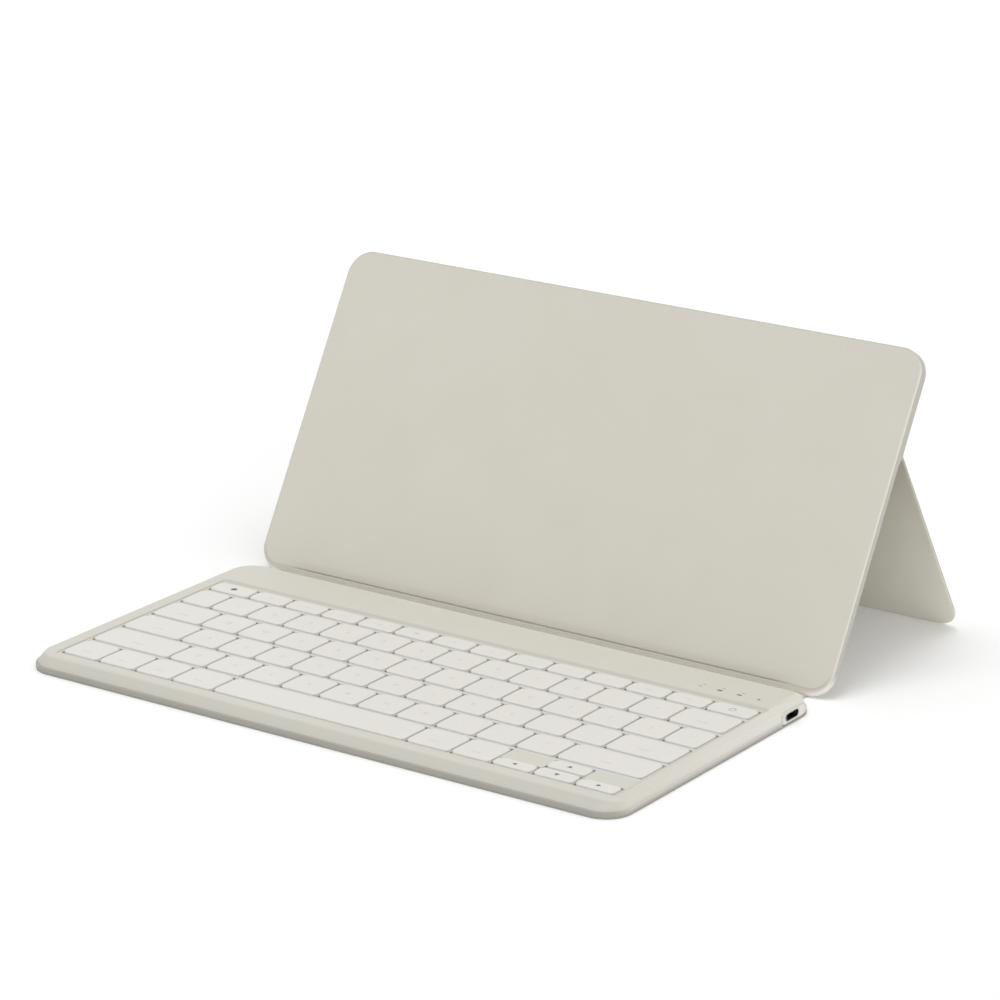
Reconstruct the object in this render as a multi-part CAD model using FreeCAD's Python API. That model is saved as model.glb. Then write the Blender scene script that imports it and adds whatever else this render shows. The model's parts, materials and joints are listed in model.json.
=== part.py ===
# Compact tablet keyboard with a cover that folds up behind it and leans on a hinged stand.
# Millimetres. X to the right, Y to the rear, Z up. The origin is the middle of the underside, on the desk.
import FreeCAD, Part
import os
from math import asin, atan2, cos, degrees, hypot, radians, sin

V = FreeCAD.Vector

# Key field: one pitch is one letter key, and every row is as long as the bottom row
key_pitch = 18.0
key_gap = 0.9
row_gap = 2.2
function_row = 11.5
letter_rows = 5
command_units = 20.0 / 18.0
space_units = 5.0
grave_units = 15.0 / 18.0
tab_units = 24.5 / 18.0
caps_units = 29.0 / 18.0
shift_units = 38.0 / 18.0
arrow_keys = 3
row_counts = (12, 12, 12, 11, 10)
key_corner = 1.6
chord_count = 2
key_thick = 1.4
key_proud = 0.2
key_clearance = 0.25

# Deck margins and layers
side_margin = 8.2
front_margin = 11.2
rear_band = 25.3
deck_corner = 11.0
skin_thick = 0.6
floor_thick = 0.7
base_height = 2.5
base_rim = 2.2
deck_top = 5.4
case_step = 0.4
case_wall = 1.2
case_roof = 1.2
front_run = 7.0
side_run = 1.1
rear_run = 1.2
slope_shape = ((0.0, 0.0), (0.06, 0.33), (0.43, 0.78), (1.0, 1.0))
least_corner = 2.0

# Key frame and the stack under the keys
frame_border = 0.6
frame_wall = 0.8
frame_thick = 1.0
frame_drop = 0.4
part_clearance = 0.15
stack_clearance = 0.3
support_thick = 0.4
membrane_thick = 0.25
mat_thick = 0.2
dome_reach = 1.9
dome_slack = 0.05
scissor_width = 10.0
scissor_depth = 8.4
scissor_bar = 1.0
scissor_thick = 0.5
scissor_margin = 1.6
stabiliser_wire = 0.8
stabiliser_inset = 3.0
stabiliser_arm = 5.0
stabiliser_offset = 5.6
wide_key_units = 1.3

# Electronics in the rear band
board_length = 54.0
board_depth = 14.0
board_thick = 0.8
board_height = 2.6
board_shift = 1.0
board_post = 3.0
battery_length = 90.0
battery_depth = 16.0
battery_thick = 2.2
battery_shift = -15.0
battery_gap = 2.0
ribbon_width = 12.0
ribbon_inset = 6.0
light_count = 4
light_pitch = 8.6
light_radius = 0.45
light_inset = 15.8
light_rear = 16.4
hole_clearance = 0.05
small_round_sides = 6
dome_sides = 4

# Charging port
port_behind_keys = 7.6
port_width = 8.94
port_height = 3.16
port_wall = 0.3
port_length = 7.3
port_centre = 3.2
tongue_width = 6.69
tongue_thick = 0.7
tongue_length = 5.0
pod_setback = 0.3
pod_front = 7.2
pod_rear = 9.6
pod_corner = 1.5
cut_overrun = 1.0

# Case screws and closing magnets
screw_inset = 12.0
screw_edge = 6.0
screw_radius = 0.6
screw_head = 1.3
screw_head_thick = 0.4
screw_length = 2.2
boss_radius = 1.8
boss_embed = 0.35
magnet_length = 18.0
magnet_width = 5.0
magnet_thick = 1.5
magnet_reach = 100.0
magnet_edge = 7.5
magnet_clearance = 0.05

# Folding strip behind the deck
strip_thick = 1.0
strip_end = 10.0
fold_gap = 0.15
closed_gap = 0.8
nose_angle = 38.5

# Cover, stand hinge and stand
lean = 30.0
cover_thick = 4.2
cover_overhang = 0.5
cover_corner = 10.5
nose_corner = 10.0
cover_skin = 0.6
cover_band = 0.6
board_start = 1.5
lining_thick = 0.4
stand_gap = 0.2
hinge_up = 95.6
barrel_radius = 1.3
barrel_clearance = 0.3
stand_thick = 1.0
stand_skin = 0.3
stand_inset = 0.4
stand_length = 98.8
stand_corner = 10.0
stand_skin_start = 2.0
knuckle_width = 12.0
knuckle_reach = 80.0
knuckle_gap = 0.3
leaf_length = 12.0
leaf_thick = 0.8
pin_radius = 0.5
pin_length = 30.0
pin_fit = 0.03
pin_running = 0.06
tablet_magnets = 8
tablet_magnet_pitch = 26.0
tablet_magnet_edge = 22.0
cover_magnet_edge = 8.0
catch_reach = 60.0
catch_up = 12.0
catch_thick = 1.0
fold_angle = 90.0

# Worked-out levels and lines
bottom_units = [1.0, 1.0, 1.0, command_units, space_units, command_units, 1.0]
field_units = sum(bottom_units) + arrow_keys
field_width = field_units * key_pitch
deck_half = field_width / 2 + side_margin
field_depth = letter_rows * key_pitch + function_row
deck_depth = front_margin + field_depth + rear_band
deck_back = deck_depth / 2
deck_front = -deck_depth / 2
field_left = -field_width / 2
field_front = deck_front + front_margin
field_back = field_front + field_depth
floor_top = skin_thick + floor_thick
support_top = floor_top + support_thick
membrane_top = support_top + membrane_thick
mat_top = membrane_top + mat_thick
frame_top = deck_top - frame_drop
key_top = deck_top + key_proud
key_under = key_top - key_thick
port_y = field_back + port_behind_keys
pod_face = deck_half - pod_setback
port_back = pod_face - port_length


def outline(x0, x1, y0, y1, front_radius, rear_radius, z):
    # Closed rounded rectangle, with one radius for both front corners and one for both rear corners
    corners = (
        (x1 - front_radius, y0 + front_radius, front_radius, -90.0),
        (x1 - rear_radius, y1 - rear_radius, rear_radius, 0.0),
        (x0 + rear_radius, y1 - rear_radius, rear_radius, 90.0),
        (x0 + front_radius, y0 + front_radius, front_radius, 180.0),
    )
    bends = []
    for cx, cy, radius, start in corners:
        turns = [radians(start + turn) for turn in (0.0, 45.0, 90.0)]
        bends.append([V(cx + radius * cos(a), cy + radius * sin(a), z) for a in turns])
    edges = []
    for n, bend in enumerate(bends):
        if bend[0].distanceToPoint(bend[2]) > 1e-6:
            edges.append(Part.Arc(*bend).toShape())
        following = bends[(n + 1) % 4][0]
        if bend[2].distanceToPoint(following) > 1e-6:
            edges.append(Part.LineSegment(bend[2], following).toShape())
    return Part.Wire(edges)


def chord_prism(x0, x1, y0, y1, z0, z1, radius, chords):
    # Rounded rectangle whose bends are a few straight chords, for shapes that repeat many times
    points = []
    bends = ((x1 - radius, y0 + radius, -90.0), (x1 - radius, y1 - radius, 0.0),
             (x0 + radius, y1 - radius, 90.0), (x0 + radius, y0 + radius, 180.0))
    for cx, cy, start in bends:
        for n in range(chords + 1):
            a = radians(start + 90.0 * n / chords)
            points.append(V(cx + radius * cos(a), cy + radius * sin(a), z0))
    face = Part.Face(Part.makePolygon(points + points[:1]))
    return face.extrude(V(0.0, 0.0, z1 - z0))


def slab(x0, x1, y0, y1, z0, z1, front_radius=0.0, rear_radius=None):
    rear = front_radius if rear_radius is None else rear_radius
    face = Part.Face(outline(x0, x1, y0, y1, front_radius, rear, z0))
    return face.extrude(V(0.0, 0.0, z1 - z0))


def box(x0, x1, y0, y1, z0, z1):
    return Part.makeBox(x1 - x0, y1 - y0, z1 - z0, V(x0, y0, z0))


def rod(x0, x1, y, z, radius):
    return Part.makeCylinder(radius, x1 - x0, V(x0, y, z), V(1.0, 0.0, 0.0))


def ring_of(x, y, z, radius, sides):
    turns = [radians(360.0 * (n + 0.5) / sides) for n in range(sides)]
    return [V(x + radius * cos(a), y + radius * sin(a), z) for a in turns]


def post(x, y, z0, z1, radius):
    # Small upright round piece with a few flat sides
    ring = ring_of(x, y, z0, radius, small_round_sides)
    return Part.Face(Part.makePolygon(ring + ring[:1])).extrude(V(0.0, 0.0, z1 - z0))


def sideways(shape):
    # A shape drawn flat is turned so that its width runs along Y, its depth along Z and its height along X
    shape.rotate(V(0.0, 0.0, 0.0), V(1.0, 1.0, 1.0), 120.0)
    return shape


def save(name, shapes):
    shapes = shapes if isinstance(shapes, list) else [shapes]
    solids = [solid for shape in shapes for solid in shape.Solids]
    shape = solids[0] if len(solids) == 1 else Part.makeCompound(solids)
    shape.exportStep("parts/" + name + ".step")
    print(name, len(solids), "solids", round(shape.Volume, 1), "mm3", shape.isValid())


def key_cells():
    # Every key as (node, left, right, front, rear) of its cap, row by row from the rear
    rows = [
        ("escape_key", "function_keys", "lock_key", (field_units - row_counts[0]) / 2),
        ("number_keys", "number_keys", "backspace_key", grave_units),
        ("tab_key", "upper_letter_keys", "upper_letter_keys", tab_units),
        ("caps_lock_key", "home_letter_keys", "return_key", caps_units),
        ("left_shift_key", "lower_letter_keys", "right_shift_key", shift_units),
    ]
    cells = []
    rear = field_back
    for (first, middle, last, first_units), count in zip(rows, row_counts):
        front = rear - (function_row if first == "escape_key" else key_pitch)
        left = field_left
        widths = [first_units] + [1.0] * count + [field_units - first_units - count]
        names = [first] + [middle] * count + [last]
        for name, units in zip(names, widths):
            right = left + units * key_pitch
            cells.append((name, left, right, front, rear))
            left = right
        rear = front
    left = field_left
    names = ["left_modifier_keys"] * 4 + ["space_key"] + ["right_modifier_keys"] * 2
    for name, units in zip(names, bottom_units):
        right = left + units * key_pitch
        cells.append((name, left, right, field_front, rear))
        left = right
    middle = field_front + key_pitch / 2
    closer = (row_gap - key_gap) / 2
    centre = left + key_pitch
    cells.append(("left_arrow_key", left, centre, field_front, middle))
    cells.append(("down_arrow_key", centre, centre + key_pitch, field_front, middle + closer))
    cells.append(("up_arrow_key", centre, centre + key_pitch, middle - closer, rear))
    cells.append(("right_arrow_key", centre + key_pitch, centre + 2 * key_pitch, field_front, middle))
    x = key_gap / 2
    y = row_gap / 2
    return [(name, x0 + x, x1 - x, y0 + y, y1 - y) for name, x0, x1, y0, y1 in cells]


def key_cap(cell):
    name, left, right, front, rear = cell
    return chord_prism(left, right, front, rear, key_under, key_top, key_corner, chord_count)


def key_opening(cell):
    return box(*grown(cell[1:], key_clearance), floor_top, deck_top)


def scissor_frame(cell):
    # One tilting guide frame, standing on the mat at its front and under the cap at its rear
    name, left, right, front, rear = cell
    depth = min(scissor_depth, rear - front - scissor_margin)
    height = key_under - mat_top - 2 * dome_slack
    tilt = asin((height - scissor_thick) / depth)
    half_x = scissor_width / 2
    half_y = depth / 2
    half_z = scissor_thick / 2
    ring = box(-half_x, half_x, -half_y, half_y, -half_z, half_z)
    hole_x = half_x - scissor_bar
    hole_y = half_y - scissor_bar
    ring = ring.cut(box(-hole_x, hole_x, -hole_y, hole_y, -half_z, half_z))
    ring.rotate(V(0.0, 0.0, 0.0), V(1.0, 0.0, 0.0), degrees(tilt))
    ring.translate(V((left + right) / 2, (front + rear) / 2, (key_under + mat_top) / 2))
    return ring


def dome(cell):
    # Flat-sided rubber dome that tapers from the mat to the underside of the cap
    name, left, right, front, rear = cell
    depth = min(scissor_depth, rear - front - scissor_margin)
    reach = min(dome_reach, depth / 2 - scissor_bar - key_clearance)
    x = (left + right) / 2
    y = (front + rear) / 2
    low = ring_of(x, y, mat_top, reach, dome_sides)
    high = ring_of(x, y, key_under - dome_slack, reach / 2, dome_sides)
    outlines = [low[::-1], high]
    for n in range(dome_sides):
        m = (n + 1) % dome_sides
        outlines.append([low[n], low[m], high[m], high[n]])
    faces = [Part.Face(Part.makePolygon(points + points[:1])) for points in outlines]
    return Part.Solid(Part.Shell(faces))


def stabiliser(cell):
    # Bent bar under a wide key: a long run and two arms towards the front
    name, left, right, front, rear = cell
    x0 = left + stabiliser_inset
    x1 = right - stabiliser_inset
    y = (front + rear) / 2 + stabiliser_offset
    z = key_under - dome_slack
    wire = box(x0, x1, y - stabiliser_wire, y, z - stabiliser_wire, z)
    for x in (x0, x1 - stabiliser_wire):
        wire = wire.fuse(box(x, x + stabiliser_wire, y - stabiliser_arm, y, z - stabiliser_wire, z))
    return wire.removeSplitter()


def case_section(run_share, rise_share, step, extra, z_top):
    # Outline of the case at one level: each side draws in from its step by its own share of run
    front, side, rear = [step + run_share * (run + extra - step) for run in (front_run, side_run, rear_run)]
    z = base_height + rise_share * (z_top - base_height)
    front_corner = max(deck_corner - (front + side) / 2, least_corner)
    rear_corner = max(deck_corner - (rear + side) / 2, least_corner)
    x = deck_half - side
    return outline(-x, x, deck_front + front, deck_back - rear, front_corner, rear_corner, z)


def screw_places():
    x = deck_half - screw_inset
    return [(sx * x, y) for sx in (-1, 1) for y in (deck_front + screw_edge, deck_back - screw_edge)]


def light_places():
    first = deck_half - light_inset - (light_count - 1) * light_pitch
    return [(first + n * light_pitch, deck_back - light_rear) for n in range(light_count)]


def frame_outer():
    return (field_left - frame_border, -field_left + frame_border,
            field_front - frame_border, field_back + frame_border)


def frame_inner():
    x0, x1, y0, y1 = frame_outer()
    return x0 + frame_wall, x1 - frame_wall, y0 + frame_wall, y1 - frame_wall


def grown(rectangle, by):
    x0, x1, y0, y1 = rectangle
    return x0 - by, x1 + by, y0 - by, y1 + by


def pod_plan(clearance):
    return (port_back - clearance, deck_half + cut_overrun if clearance else pod_face,
            port_y - pod_front - clearance, port_y + pod_rear + clearance)


def ribbon_span():
    x1 = port_back - board_length + ribbon_inset + ribbon_width
    return x1 - ribbon_width, x1


def port_outline(width, height, x0, x1):
    radius = height / 2
    face = slab(port_y - width / 2, port_y + width / 2, port_centre - radius, port_centre + radius,
                x0, x1, radius)
    return sideways(face)


def make_base():
    x = deck_half
    save("underside_skin", slab(-x, x, deck_front, deck_back, 0.0, skin_thick, deck_corner))
    base = slab(-x, x, deck_front, deck_back, skin_thick, floor_top, deck_corner)
    for sx, sy in screw_places():
        base = base.cut(post(sx, sy, skin_thick, skin_thick + screw_head_thick, screw_head + hole_clearance))
        base = base.cut(post(sx, sy, skin_thick, floor_top, screw_radius + hole_clearance))
    save("base_plate", base.cut(box(*pod_plan(part_clearance), skin_thick, floor_top)))
    band = slab(-x, x, deck_front, deck_back, floor_top, base_height, deck_corner)
    x -= base_rim
    inner_corner = max(deck_corner - base_rim, least_corner)
    band = band.cut(slab(-x, x, deck_front + base_rim, deck_back - base_rim, floor_top, base_height, inner_corner))
    save("base_band", band.cut(box(*pod_plan(part_clearance), floor_top, base_height)))
    save("board_standoffs", [box(px, px + board_post, py, py + board_post, floor_top, board_height)
                             for px, py in board_posts()])


def board_plan():
    x1 = port_back
    y0 = port_y - board_depth / 2 + board_shift
    return x1 - board_length, x1, y0, y0 + board_depth


def board_posts():
    x0, x1, y0, y1 = board_plan()
    return [(x, y) for x in (x0, x1 - board_post) for y in (y1 - board_post,)] + [(x1 - board_post, y0)]


def make_top_case():
    outer = [case_section(run, rise, case_step, 0.0, deck_top) for run, rise in slope_shape]
    inner_step = case_step + case_wall
    inner = [case_section(run, rise, inner_step, case_wall, deck_top - case_roof) for run, rise in slope_shape]
    case = Part.makeLoft(outer, True, True).cut(Part.makeLoft(inner, True, True))
    case = case.cut(box(*grown(frame_outer(), part_clearance), base_height, deck_top))
    for sx, sy in screw_places():
        boss = post(sx, sy, floor_top, deck_top - case_roof + boss_embed, boss_radius)
        case = case.fuse(boss).removeSplitter()
        case = case.cut(post(sx, sy, floor_top, skin_thick + screw_head_thick + screw_length,
                             screw_radius + hole_clearance))
    case = case.cut(box(*pod_plan(part_clearance), floor_top, deck_top))
    for lx, ly in light_places():
        case = case.cut(post(lx, ly, base_height, deck_top, light_radius + hole_clearance))
    save("top_case", case)


def make_key_frame(cells):
    frame = box(*frame_outer(), floor_top, frame_top)
    frame = frame.cut(box(*frame_inner(), floor_top, frame_top - frame_thick))
    openings = Part.makeCompound([key_opening(cell) for cell in cells])
    frame = frame.cut(openings)
    x0, x1 = ribbon_span()
    notch = box(x0 - part_clearance, x1 + part_clearance, field_back - key_clearance,
                field_back + frame_border, floor_top, mat_top)
    save("key_frame", frame.cut(notch))


def make_stack(cells):
    plan = grown(frame_inner(), -stack_clearance)
    save("support_plate", box(*plan, floor_top, support_top))
    save("switch_membrane", box(*plan, support_top, membrane_top))
    sheet = box(*plan, membrane_top, mat_top)
    save("dome_mat", [sheet] + [dome(cell) for cell in cells])
    save("scissor_frames", [scissor_frame(cell) for cell in cells])
    wide = [cell for cell in cells if cell[2] - cell[1] > wide_key_units * key_pitch]
    save("stabiliser_bars", [stabiliser(cell) for cell in wide])


def make_keys(cells):
    for node in sorted(set(cell[0] for cell in cells)):
        save(node, [key_cap(cell) for cell in cells if cell[0] == node])


def make_electronics():
    x0, x1, y0, y1 = board_plan()
    board_top = board_height + board_thick
    save("main_board", box(x0, x1, y0, y1, board_height, board_top))
    half = battery_length / 2
    y = field_back + frame_border + stack_clearance + battery_gap
    save("battery_cell", box(battery_shift - half, battery_shift + half, y, y + battery_depth,
                             floor_top, floor_top + battery_thick))
    rx0, rx1 = ribbon_span()
    start = frame_inner()[3] - stack_clearance
    turn = y0 + board_post
    ribbon = box(rx0, rx1, start, turn, support_top, membrane_top)
    ribbon = ribbon.fuse(box(rx0, rx1, turn - membrane_thick, turn, support_top, board_height))
    save("membrane_ribbon", ribbon.removeSplitter())
    save("status_light_guides", [post(x, y, board_top, deck_top, light_radius) for x, y in light_places()])


def make_port():
    x0, x1, y0, y1 = pod_plan(0.0)
    pod = sideways(slab(y0, y1, skin_thick, deck_top, x0, x1, 0.0, pod_corner))
    clear = 2 * part_clearance
    pod = pod.cut(port_outline(port_width + clear, port_height + clear,
                               port_back - cut_overrun, pod_face + cut_overrun))
    save("port_bezel", pod)
    shell = port_outline(port_width, port_height, port_back, pod_face)
    bore = 2 * port_wall
    shell = shell.cut(port_outline(port_width - bore, port_height - bore, port_back + port_wall, pod_face))
    save("port_shell", shell)
    tongue_start = port_back + port_wall
    save("port_tongue", box(tongue_start, tongue_start + tongue_length,
                            port_y - tongue_width / 2, port_y + tongue_width / 2,
                            port_centre - tongue_thick / 2, port_centre + tongue_thick / 2))


def make_fasteners():
    screws = []
    for sx, sy in screw_places():
        shoulder = skin_thick + screw_head_thick
        head = post(sx, sy, skin_thick, shoulder, screw_head)
        screws.append(head.fuse(post(sx, sy, shoulder, shoulder + screw_length - hole_clearance, screw_radius)))
    save("case_screws", [screw.removeSplitter() for screw in screws])
    bars = []
    for side in (-1, 1):
        x = side * magnet_reach
        y = deck_front + magnet_edge
        bars.append(box(x - magnet_length / 2, x + magnet_length / 2, y - magnet_width / 2, y + magnet_width / 2,
                        floor_top, floor_top + magnet_thick))
    save("closing_magnets", bars)


# Fold lines of the strip, and the cover's place with its face turned towards the keys
strip_radius = strip_thick / 2
cover_half = cover_thick / 2
fold_a_y = deck_back + fold_gap + strip_radius
fold_a_z = strip_radius
nose_reach = cover_half + strip_radius + fold_gap
closed_turn = radians(nose_angle + fold_angle + lean)
strip_length = key_top + closed_gap + cover_half - fold_a_z - nose_reach * sin(closed_turn)
fold_b_y = fold_a_y + strip_length
nose_y = fold_b_y + nose_reach * cos(radians(nose_angle))
nose_z = fold_a_z + nose_reach * sin(radians(nose_angle))
cover_length = fold_a_y + nose_reach * cos(closed_turn) - deck_front + cover_overhang
cover_x = deck_half
recess_level = -(cover_half - stand_thick - stand_gap)
hinge_level = -(cover_half - barrel_radius)
groove_radius = barrel_radius + barrel_clearance
cover_turn = 90.0 - lean

# The stand opens until the lowest line of its foot is on the desk
foot_radius = stand_thick / 2
foot_along = -stand_length
foot_across = -(cover_half - foot_radius) - hinge_level
hinge_y = nose_y + hinge_up * sin(radians(lean)) - hinge_level * cos(radians(lean))
hinge_z = nose_z + hinge_up * cos(radians(lean)) + hinge_level * sin(radians(lean))
foot_reach = hypot(foot_along, foot_across)
folded_angle = degrees(atan2(foot_across, foot_along)) + cover_turn
stand_opening = -degrees(asin((hinge_z - foot_radius) / foot_reach)) - folded_angle


def place_cover(shape):
    # From lying on its back, face up, with the nose at the origin, to leaning behind the deck
    placed = shape.copy()
    placed.rotate(V(0.0, 0.0, 0.0), V(1.0, 0.0, 0.0), cover_turn)
    placed.translate(V(0.0, nose_y, nose_z))
    return placed


def place_stand(shape):
    opened = shape.copy()
    opened.rotate(V(0.0, hinge_up, hinge_level), V(1.0, 0.0, 0.0), stand_opening)
    return place_cover(opened)


def make_strip():
    x = deck_half - strip_end
    strip = box(-x, x, fold_a_y, fold_b_y, 0.0, strip_thick)
    for y in (fold_a_y, fold_b_y):
        strip = strip.fuse(rod(-x, x, y, strip_radius, strip_radius))
    save("hinge_strip", strip.removeSplitter())


def cover_envelope():
    block = box(-cover_x, cover_x, 0.0, cover_length, -cover_half, cover_half)
    block = block.fuse(rod(-cover_x, cover_x, 0.0, 0.0, cover_half)).removeSplitter()
    plan = slab(-cover_x, cover_x, -cover_half, cover_length, -cover_half, cover_half, nose_corner, cover_corner)
    return block.common(plan).cut(stand_recess())


def stand_recess():
    recess = box(-cover_x, cover_x, -cover_thick, hinge_up, -cover_thick, recess_level)
    recess = recess.fuse(rod(-cover_x, cover_x, hinge_up, hinge_level, groove_radius))
    mouth = box(-cover_x, cover_x, hinge_up, hinge_up + groove_radius, -cover_thick, hinge_level)
    return recess.fuse(mouth).removeSplitter()


def bar(x, up, low, high):
    return box(x - magnet_length / 2, x + magnet_length / 2, up - magnet_width / 2, up + magnet_width / 2, low, high)


def pocket(x, up, low, high):
    side = magnet_length / 2 + magnet_clearance
    end = magnet_width / 2 + magnet_clearance
    return box(x - side, x + side, up - end, up + end, low, high)


def make_cover():
    envelope = cover_envelope()
    core = cover_half - cover_skin
    inner_x = cover_x - cover_band
    inner_end = cover_length - cover_band
    inner_plan = slab(-inner_x, inner_x, cover_band - cover_half, inner_end, -core, core,
                      nose_corner - cover_band, cover_corner - cover_band)
    back_start = hinge_up + groove_radius
    back_skin = envelope.common(box(-cover_x, cover_x, back_start, cover_length, -cover_half, -core))
    save("cover_back_skin", place_cover(back_skin))
    lining_end = hinge_up - groove_radius
    lining_top = recess_level + lining_thick
    lining = inner_plan.common(box(-inner_x, inner_x, board_start, lining_end, recess_level, lining_top))
    save("recess_lining", place_cover(lining))
    board = inner_plan.common(box(-inner_x, inner_x, board_start, inner_end, -core, core))
    board = board.cut(box(-inner_x, inner_x, board_start, hinge_up, -core, lining_top)).cut(stand_recess())
    skin = envelope.cut(back_skin).cut(lining).cut(board)
    save("cover_face_skin", place_cover(skin))

    face_up = cover_length - tablet_magnet_edge
    face_places = [((n - (tablet_magnets - 1) / 2) * tablet_magnet_pitch, face_up)
                   for n in range(tablet_magnets)]
    closing_places = [(side * magnet_reach, cover_length - cover_magnet_edge) for side in (-1, 1)]
    catch_places = [(side * catch_reach, catch_up) for side in (-1, 1)]
    for x, up in face_places + closing_places:
        board = board.cut(pocket(x, up, core - magnet_thick, core))
    for x, up in catch_places:
        board = board.cut(pocket(x, up, lining_top, lining_top + catch_thick))
    knuckles = []
    pins = []
    for side in (-1, 1):
        x = side * knuckle_reach
        half = knuckle_width / 2
        leaf_top = -core + leaf_thick
        board = board.cut(box(x - half - part_clearance, x + half + part_clearance,
                              hinge_up, hinge_up + leaf_length + part_clearance, -core, leaf_top))
        leaf = box(x - half, x + half, hinge_up, hinge_up + leaf_length, -core, leaf_top)
        knuckle = rod(x - half, x + half, hinge_up, hinge_level, barrel_radius).fuse(leaf).removeSplitter()
        knuckles.append(knuckle.cut(rod(x - half, x + half, hinge_up, hinge_level, pin_radius + pin_fit)))
        pins.append(rod(x - pin_length / 2, x + pin_length / 2, hinge_up, hinge_level, pin_radius))
    save("cover_board", place_cover(board))
    save("tablet_magnets", [place_cover(bar(x, up, core - magnet_thick, core)) for x, up in face_places])
    save("cover_closing_magnets", [place_cover(bar(x, up, core - magnet_thick, core)) for x, up in closing_places])
    save("stand_catch_magnets", [place_cover(bar(x, up, lining_top, lining_top + catch_thick))
                                 for x, up in catch_places])
    save("stand_hinge_brackets", [place_cover(knuckle) for knuckle in knuckles])
    save("stand_hinge_pins", [place_cover(pin) for pin in pins])


def make_stand():
    x = cover_x - stand_inset
    foot_up = hinge_up - stand_length
    back = -cover_half
    front = back + stand_thick
    plate = box(-x, x, foot_up, hinge_up, back, front)
    plate = plate.fuse(rod(-x, x, foot_up, back + foot_radius, foot_radius)).removeSplitter()
    plate = plate.common(slab(-x, x, foot_up - foot_radius, hinge_up, back, front, stand_corner, 0.0))
    skin_end = hinge_up - stand_skin_start
    outer = plate.common(box(-x, x, foot_up - foot_radius, skin_end, back, back + stand_skin))
    inner = plate.common(box(-x, x, foot_up - foot_radius, skin_end, front - stand_skin, front))
    board = plate.cut(outer).cut(inner).fuse(rod(-x, x, hinge_up, hinge_level, barrel_radius)).removeSplitter()
    for side in (-1, 1):
        centre = side * knuckle_reach
        half = knuckle_width / 2 + knuckle_gap
        reach = barrel_radius + knuckle_gap
        board = board.cut(box(centre - half, centre + half, hinge_up - reach, hinge_up + reach,
                              hinge_level - reach, hinge_level + reach))
        bore = pin_length / 2 + knuckle_gap
        board = board.cut(rod(centre - bore, centre + bore, hinge_up, hinge_level, pin_radius + pin_running))
    save("stand_board", place_stand(board))
    save("stand_outer_skin", place_stand(outer))
    save("stand_inner_skin", place_stand(inner))


os.makedirs("parts", exist_ok=True)
keys = key_cells()
make_base()
make_top_case()
make_key_frame(keys)
make_stack(keys)
make_keys(keys)
make_electronics()
make_port()
make_fasteners()
make_strip()
make_cover()
make_stand()
print("deck", 2 * deck_half, deck_depth, "keys", len(keys))
print("fold_a", fold_a_y, fold_a_z, "fold_b", fold_b_y, fold_a_z, "nose", nose_y, nose_z)
print("stand hinge", hinge_y, hinge_z, "opening", stand_opening, "cover length", cover_length)
print("port", pod_face, port_y, port_centre)
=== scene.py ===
import json
from math import asin, atan2, cos, degrees, hypot, pi, radians, sin

import bpy
import numpy as np
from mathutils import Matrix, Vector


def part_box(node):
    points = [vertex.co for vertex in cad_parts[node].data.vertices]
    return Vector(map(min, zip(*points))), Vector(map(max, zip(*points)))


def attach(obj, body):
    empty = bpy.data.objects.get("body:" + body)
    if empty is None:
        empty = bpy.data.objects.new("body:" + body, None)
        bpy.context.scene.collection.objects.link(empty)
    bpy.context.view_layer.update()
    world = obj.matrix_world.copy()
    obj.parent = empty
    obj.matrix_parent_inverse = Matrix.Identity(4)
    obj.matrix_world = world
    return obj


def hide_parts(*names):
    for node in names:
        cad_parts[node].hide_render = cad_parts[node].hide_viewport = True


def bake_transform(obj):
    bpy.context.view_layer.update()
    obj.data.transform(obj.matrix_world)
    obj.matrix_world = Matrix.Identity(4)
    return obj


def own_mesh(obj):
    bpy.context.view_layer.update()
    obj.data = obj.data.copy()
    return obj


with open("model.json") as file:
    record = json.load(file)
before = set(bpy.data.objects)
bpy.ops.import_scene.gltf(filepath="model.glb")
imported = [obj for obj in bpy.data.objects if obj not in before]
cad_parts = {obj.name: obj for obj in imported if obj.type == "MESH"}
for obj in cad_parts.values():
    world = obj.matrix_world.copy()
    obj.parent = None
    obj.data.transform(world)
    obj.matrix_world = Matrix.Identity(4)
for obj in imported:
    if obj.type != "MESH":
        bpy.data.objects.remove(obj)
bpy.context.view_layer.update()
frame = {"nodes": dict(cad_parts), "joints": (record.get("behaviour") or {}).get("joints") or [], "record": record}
scene = bpy.context.scene
mm = 0.001
tiny = 1e-6  # room for rounding where places are compared
leastBend = 0.1 * mm  # corners that shrink stop at this radius
shellSteps = 12  # faces round each corner of a large shell
sharpAbove = 38.0  # degrees between two faces, past which their edge stays sharp


# shader maths

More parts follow.
